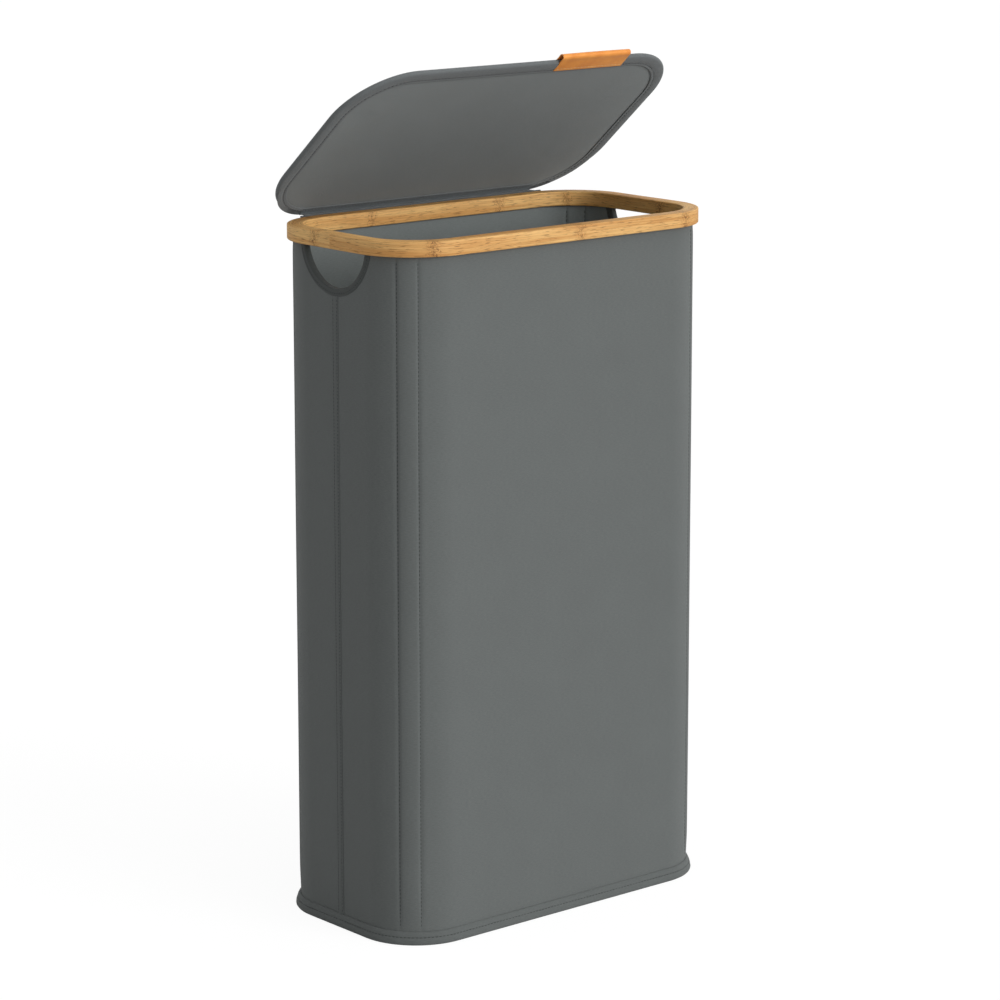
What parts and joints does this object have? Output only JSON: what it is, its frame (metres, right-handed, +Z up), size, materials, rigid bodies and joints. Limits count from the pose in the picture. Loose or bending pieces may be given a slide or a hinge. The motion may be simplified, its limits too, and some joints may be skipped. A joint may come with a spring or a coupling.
{
  "type": "laundry hamper with lid",
  "caption": "Tall slim fabric laundry hamper with a bent bamboo rim, half-moon hand holes, a padded foot band and a stiff hinged lid with a tan pull tab.",
  "frame": {"origin": "on the floor, under the middle of the body", "axes": "+X to the right along the long side, -Y out of the front face, +Y towards the hinge, +Z up"},
  "size_m": [0.4, 0.2277, 0.8212],
  "materials": {
    "bamboo": "laminated bamboo strip, clear satin lacquer",
    "fabric": "fine plain-woven polyester, slate grey, matt",
    "binding": "ribbed binding tape, darker grey",
    "lining": "non-woven lining, warm grey, matt",
    "board": "stiff board, sealed inside the fabric",
    "steel": "drawn steel rod",
    "tab": "smooth tan leather-look sheet, cream thread"
  },
  "bodies": {
    "hamper": {"bamboo_rim": "bamboo", "outer_fabric_front": "fabric", "outer_fabric_rear": "fabric", "lining_front": "lining", "lining_rear": "lining", "front_board": "board", "rear_board": "board", "left_front_board": "board", "left_rear_board": "board", "right_front_board": "board", "right_rear_board": "board", "rod_front_left": "steel", "rod_front_right": "steel", "rod_rear_left": "steel", "rod_rear_right": "steel", "left_hole_binding": "binding", "right_hole_binding": "binding", "left_seam": "fabric", "right_seam": "fabric", "base_band": "fabric", "base_fabric": "fabric", "base_board": "board", "base_lining": "lining", "hinge_strip": "fabric"},
    "lid": {"lid_board": "board", "lid_cover": "fabric", "lid_lining": "lining", "hinge_flap": "fabric", "pull_tab": "tab"}
  },
  "joints": [
    {"name": "lid_hinge", "type": "hinge", "parent": "hamper", "child": "lid", "pos_m": [0, 0.119, 0.6678], "axis": [-1, 0, 0], "range_deg": [-40, 228]}
  ]
}
